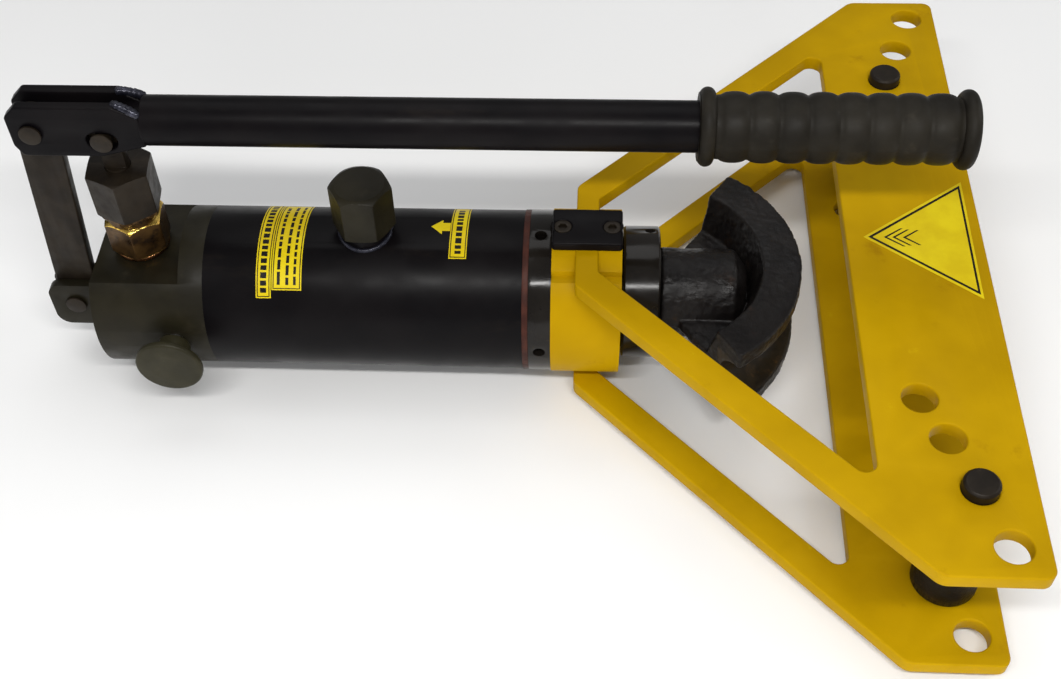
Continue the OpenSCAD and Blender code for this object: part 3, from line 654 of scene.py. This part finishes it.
def cast(node, voxel, settle, lumps):
    """A casting: the CAD solid with soft inside corners, a rough skin and the flash line left by the mould.
    lumps are the (size, height, seed) of the skin's noise layers."""
    mesh = applied(
        cad_copy(node),
        ("REMESH", {"mode": "VOXEL", "voxel_size": voxel * MM}),
        ("SMOOTH", {"factor": 0.5, "iterations": settle}),
    )
    form = bmesh.new()
    form.from_mesh(mesh)
    form.normal_update()
    for vert in form.verts:
        x, y, z = vert.co / MM
        from_centre = math.hypot(x - FORMER_X, y)
        skin = WORN_SKIN if from_centre > GROOVE_FOOT and abs(z - AXIS_Z) < GROOVE_HALF + 0.8 else 1.0
        push = 0.25  # the whole skin moves out by this much
        for size, height, seed in lumps:
            push += height * skin * noise.noise(Vector((x, y, z)) / size + Vector((seed, 0, 0)))
        if from_centre < WEB_R:
            push += FLASH_HEIGHT * math.exp(-(((z - AXIS_Z - FLASH_Z) / FLASH_WIDTH) ** 2))
        vert.co += vert.normal * push * MM
    form.to_mesh(mesh)
    form.free()
    for face in mesh.polygons:
        x, y, z = face.center / MM
        if math.hypot(x - FORMER_X, y) > GROOVE_FOOT - 2 and abs(z - AXIS_Z) < GROOVE_HALF:
            face.material_index = 1
    show(node + "_casting", mesh, node, materials=[finishes[slots[node]], groove_rust], angle=60)


cast("former", 0.8, 4, [(9, 0.30, 1), (2.6, 0.26, 7), (1.1, 0.12, 13)])

# The return spring, copied from the CAD coil on to a mesh of its own
coil = show("return_spring_coil", cad_copy("return_spring"), "return_spring", angle=60)
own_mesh(coil)

# ---------------------------------------------------------------- handle, link and plunger

cheek_low, cheek_high = lowest("front_cheek"), highest("front_cheek")
back, front, foot, top = cheek_low.x, cheek_high.x, cheek_low.z, cheek_high.z
cheek = rounded([
    (back + 3, foot, 3), (front - 22, foot, 3), (front, foot + 6, 1), (front, top - 6, 1),
    (front - 11, top, 3), (back + 6, top, 3), (back, top - 6, 3), (back, foot + 6, 3),
])
fulcrum = circle(middle("link_pin").x, middle("link_pin").z, 4.05, 40)
pin = middle("plunger_pin")
slot_reach, slot_r, slot_steps = 2.6, 4.6, 40
slot = []
for end in (1, -1):
    for i in range(slot_steps + 1):
        angle = math.pi * (i / slot_steps - 0.5)
        x = pin.x + end * (slot_reach + slot_r * math.cos(angle))
        slot.append((x, pin.z + end * slot_r * math.sin(angle)))
for node in ("front_cheek", "rear_cheek"):
    sheet = plate([cheek, fulcrum, slot], lowest(node).y, highest(node).y, SHEET_EASE, upright=True)
    show(node + "_cut", sheet, node)

eased("link_strap", 0.8, 3)
for node in ("link_pin", "lug_pin", "plunger_pin"):
    eased(node, 0.4, 2)
eased("plunger", 0.25, materials=[finishes["black_oxide"]])

HANDLE_Z = middle("handle_tube").z
tube_back, tube_front = lowest("handle_tube").x, highest("handle_tube").x
outside, inside = highest("handle_tube").z - HANDLE_Z, 9.5
tube = [
    (inside, tube_back), (outside, tube_back), (outside, tube_front), (inside, tube_front),
    (inside, tube_back),
]
tube_mesh = revolve(smoothed_profile(tube, 0.5), (0, 0, HANDLE_Z), (1, 0, 0))
show("handle_tube_drawn", tube_mesh, "handle_tube")
eased("fork_spacer", 0.4)

LOBES = 8
FLANGE = 7.5  # length of the collar at each end of the grip
NECK_R = 14.2  # radius between the collars and the lobes
GRIP_BACK = lowest("handle_grip").x
GRIP = highest("handle_grip").x - GRIP_BACK  # its length


def flange(along):
    """The round edge of a collar whose middle is that far along the grip."""
    angles = [math.pi * i / 16 for i in range(17)]
    return [(NECK_R + 3.5 * math.sin(a), along - 3.6 * math.cos(a)) for a in angles]


grip = [(0, 0), (12.2, 0), (15.4, 0)] + flange(3.7) + [(NECK_R + 0.1, FLANGE + 0.6)]
start, end = FLANGE + 1.6, GRIP - FLANGE - 1.2
pitch = (end - start) / LOBES
for lobe in range(LOBES):
    for k in range(13):
        t = k / 12
        bulge = (1 - abs(2 * t - 1) ** 2.6) ** 0.9
        grip.append((NECK_R + 0.25 + 1.45 * bulge, start + pitch * (lobe + 0.03 + 0.94 * t)))
grip += [(NECK_R, end + 0.5)] + flange(GRIP - 3.7) + [(12.5, GRIP), (0, GRIP)]


def moulded(radius, angle, along):
    """The grip's faint parting line and the slight unevenness of soft rubber."""
    line = 0.16 * math.exp(-((math.sin(angle - math.pi / 2) / 0.035) ** 2)) if 8 < along < GRIP - 8 else 0
    return radius + line - 0.05 * (1 + math.sin(along * 0.21 + 2 * angle)) - 0.16


grip_mesh = revolve(grip, (GRIP_BACK, 0, HANDLE_Z), (1, 0, 0), 160, moulded)
show("handle_grip_moulded", grip_mesh, "handle_grip", angle=50)

# Welds where the cheeks' top edges run on to the tube, and round the filler neck
for side, name in ((-1, "front"), (1, "rear")):
    run = []
    for i in range(25):
        t = i / 24
        run.append((front - 12.5 + 13 * t, side * (4.6 + 2.6 * t), top - 0.4 - 0.8 * t - 4.4 * t * t))
    bead(run, 1.9, 0.9, "handle_tube", f"handle_weld_{name}", 3 + side)
ring_r = highest("filler_neck").y + 0.6
ring = []
for i in range(73):
    angle = 2 * math.pi * i / 72
    y = ring_r * math.sin(angle)
    ring.append((FILLER_X + ring_r * math.cos(angle), y, AXIS_Z + math.sqrt((TUBE_R + 0.2) ** 2 - y * y)))
bead(ring, 1.0, 1.3, "filler_neck", "filler_weld", 5)

# ---------------------------------------------------------------- rollers and pins

pin_r, pin_chamfer = HOLE_R - 0.05, 1.2
for node in ("front_roller_pin", "rear_roller_pin"):
    foot, top = lowest(node).z, highest(node).z
    pin_profile = [
        (0, foot), (pin_r - pin_chamfer, foot), (pin_r, foot + pin_chamfer),
        (pin_r, top - pin_chamfer), (pin_r - pin_chamfer, top), (0, top),
    ]
    place = (middle(node).x, middle(node).y, 0)
    show(node + "_turned", revolve(smoothed_profile(pin_profile, 0.5), place, (0, 0, 1)), node)
for node in ("front_roller", "rear_roller"):
    eased(node, 0.4, 2, angle=45)

# ---------------------------------------------------------------- printed labels, with no lettering

LABEL_LIFT = 0.02  # the gap under a label, so that its underside doesn't lie in the surface
LABEL_T = 0.12  # thickness of a label


def on_tube(u, v, lift):
    """u along the tube in X, v round it in mm of arc from the top towards the front."""
    angle = v / TUBE_R
    return (u, -(TUBE_R + lift) * math.sin(angle), AXIS_Z + (TUBE_R + lift) * math.cos(angle))


def printed(name, patches):
    """A label on the reservoir tube. A patch is (u0, v0, u1, v1, ink), and the ink ones lie on the others."""
    form = bmesh.new()
    for u0, v0, u1, v1, ink in patches:
        steps = max(1, math.ceil(abs(v1 - v0) / 1.5))
        low, high = (LABEL_T * 0.5, LABEL_T + 0.05) if ink else (LABEL_LIFT, LABEL_T)
        section = ((u0, low), (u1, low), (u1, high), (u0, high))
        rows = []
        for i in range(steps + 1):
            v = v0 + (v1 - v0) * i / steps
            rows.append([form.verts.new(Vector(on_tube(u, v, lift)) * MM) for u, lift in section])
        faces = [form.faces.new(rows[0]), form.faces.new(rows[-1])]
        for a, b in zip(rows, rows[1:]):
            for k in range(4):
                faces.append(form.faces.new([a[k], a[(k + 1) % 4], b[(k + 1) % 4], b[k]]))
        for face in faces:
            face.material_index = 1 if ink else 0
    bmesh.ops.recalc_face_normals(form, faces=form.faces)
    mesh = bpy.data.meshes.new(name)
    form.to_mesh(mesh)
    form.free()
    show(name, mesh, "reservoir_tube", materials=[label_yellow, label_ink], angle=30, stands_for=False)


def frame_of(u0, v0, u1, v1, line=0.45):
    """Four ink patches that frame a label with a line of that width."""
    return [
        (u0, v0, u0 + line, v1, True), (u1 - line, v0, u1, v1, True),
        (u0 + line, v0, u1 - line, v0 + line, True), (u0 + line, v1 - line, u1 - line, v1, True),
    ]


def text_lines(columns, top, end):
    """Rows of plain bars that stand for lines of small print. A column is (u, height, shortest, longest)."""
    bars = []
    for u, height, shortest, longest in columns:
        v = end - 2.6
        while v > top + 2.6 + longest:
            length = random.uniform(shortest, longest)
            bars.append((u, v - length, u + height, v, True))
            v -= length + 1.1
    return bars


random.seed(11)
label_top, title_end, text_end, strip_end = -27, 37, 33, 16  # how far round the tube the labels reach
plate_label = [(-160.4, label_top, -153.0, title_end, False), (-152.6, label_top, -138, text_end, False)]
plate_label += frame_of(-159.8, label_top + 0.6, -153.6, title_end - 0.6)
plate_label += frame_of(-152.0, label_top + 0.6, -138.6, text_end - 0.6)
plate_label += text_lines([(-158.2, 3.0, 1.8, 3.0)], label_top, title_end)
columns = [(-150.0, 1.5, 2.0, 6.5), (-145.8, 1.5, 2.0, 5.5), (-142.0, 1.3, 2.0, 4.5)]
plate_label += text_lines(columns, label_top, text_end)
printed("plate_label", plate_label)

strip = [(-66.8, label_top, -58.2, strip_end, False)]
strip += frame_of(-66.3, label_top + 0.6, -58.7, strip_end - 0.6)
strip += text_lines([(-64.0, 3.0, 1.6, 3.4)], label_top, strip_end)
printed("arrow_strip", strip)


def on_wing(name, outlines, lift, thickness, material):
    """A thin flat sheet on the upper wing plate."""
    z = highest("upper_wing_plate").z + lift
    mesh = plate(outlines, z, z + thickness, thickness * 0.2, segments=1)
    show(name, mesh, "upper_wing_plate", materials=[material], stands_for=False)


def inset(triangle, amount):
    """A nearly equilateral triangle with its sides moved inwards by about that amount."""
    centre = sum((Vector(p) for p in triangle), Vector((0, 0))) / 3
    side = min((Vector(triangle[i]) - Vector(triangle[i - 1])).length for i in range(3))
    inner = side * 0.28
    return [tuple(centre + (Vector(p) - centre) * (1 - amount / inner)) for p in triangle]


INK_LIFT, INK_T = 0.1, 0.08
sign_y = 0.9  # the sign's middle line
sign = [(134.6, sign_y), (182.2, -36), (183, 37.9)]
on_wing("sign_field", [inset(sign, -1.2)], LABEL_LIFT, LABEL_T, label_yellow)
on_wing("sign_border", [sign, inset(sign, 1.1)], INK_LIFT, INK_T, label_ink)
for step, (point, reach) in enumerate(((142, 8.5), (146, 7.5), (151, 7))):
    half, end = reach * 0.72, point + reach
    chevron = [
        (point, sign_y), (end, sign_y - half), (end + 1.2, sign_y - half),
        (point + 1.6, sign_y), (end + 1.2, sign_y + half), (end, sign_y + half),
    ]
    on_wing(f"sign_chevron_{step}", [chevron], INK_LIFT, INK_T, label_ink)


def wrapped(name, outline):
    """A yellow sticker cut to an outline of (along, round) points and laid round the tube."""
    mesh = plate([outline], 0, LABEL_T, 0.02, segments=1)
    form = bmesh.new()
    form.from_mesh(mesh)
    for level in range(-20, 20):
        every = form.verts[:] + form.edges[:] + form.faces[:]
        bmesh.ops.bisect_plane(form, geom=every, plane_co=(0, level * MM, 0), plane_no=(0, 1, 0))
    for vert in form.verts:
        u, v, lift = vert.co / MM
        vert.co = Vector(on_tube(u, v, LABEL_LIFT + lift)) * MM
    form.to_mesh(mesh)
    form.free()
    show(name, mesh, "reservoir_tube", materials=[label_yellow], stands_for=False)


arrow_point, arrow_neck, arrow_end = -76.4, -70.9, -67
wrapped("tube_arrow", [
    (arrow_point, -3.2), (arrow_neck, -8.6), (arrow_neck, -6.2), (arrow_end, -6.2),
    (arrow_end, -0.2), (arrow_neck, -0.2), (arrow_neck, 2.2),
])

# ---------------------------------------------------------------- floor, light and camera

floor_mesh = bpy.data.meshes.new("floor")
form = bmesh.new()
bmesh.ops.create_grid(form, x_segments=2, y_segments=2, size=4)
form.to_mesh(floor_mesh)
form.free()
floor = bpy.data.objects.new("floor", floor_mesh)
floor.data.materials.append(floor_paper)
bpy.context.scene.collection.objects.link(floor)

LIT_POINT = Vector((0, 0, 0.05))


def soft_light(name, place, size, power, tint=(1, 1, 1), mirrored_in_gloss=True):
    """A rectangular studio light, in metres and watts, turned to the lit point."""
    lamp = bpy.data.lights.new(name, "AREA")
    lamp.shape = "RECTANGLE"
    lamp.size, lamp.size_y = size
    lamp.energy = power
    lamp.color = tint
    holder = bpy.data.objects.new(name, lamp)
    holder.location = place
    holder.rotation_euler = (LIT_POINT - Vector(place)).to_track_quat("-Z", "Y").to_euler()
    holder.visible_glossy = mirrored_in_gloss
    bpy.context.scene.collection.objects.link(holder)


soft_light("key", (0.02, -0.56, 0.86), (0.80, 0.05), 6.4, (1, 0.99, 0.97))
soft_light("overhead", (-0.2, 0.7, 1.7), (1.6, 1.2), 8)
soft_light("front", (0.1, -1.6, 0.42), (1.4, 0.5), 12, mirrored_in_gloss=False)
soft_light("side", (-1.5, -0.4, 0.9), (0.9, 0.9), 3)
soft_light("far_side", (1.5, 0.3, 1.0), (0.9, 0.9), 6)

world = bpy.data.worlds.new("studio")
world.use_nodes = True
world.node_tree.nodes["Background"].inputs["Color"].default_value = (0.94, 0.95, 0.96, 1)
world.node_tree.nodes["Background"].inputs["Strength"].default_value = 0.28
bpy.context.scene.world = world
bpy.context.scene.view_settings.view_transform = "Standard"

lens = bpy.data.cameras.new("camera")
lens.sensor_width = 36
lens.lens = 46.73
lens.shift_x = 0.0219
lens.shift_y = 0.0719
lens.clip_start = 0.01
camera = bpy.data.objects.new("camera", lens)
right, up = Vector((0.9981, 0.0536, -0.0292)), Vector((-0.0241, 0.7851, 0.6188))
backwards = Vector((0.056, -0.617, 0.785))
turned = Matrix((right, up, backwards)).transposed().to_4x4()
camera.matrix_world = Matrix.Translation((0.00074, -0.48407, 0.55629)) @ turned
bpy.context.scene.collection.objects.link(camera)
bpy.context.scene.camera = camera
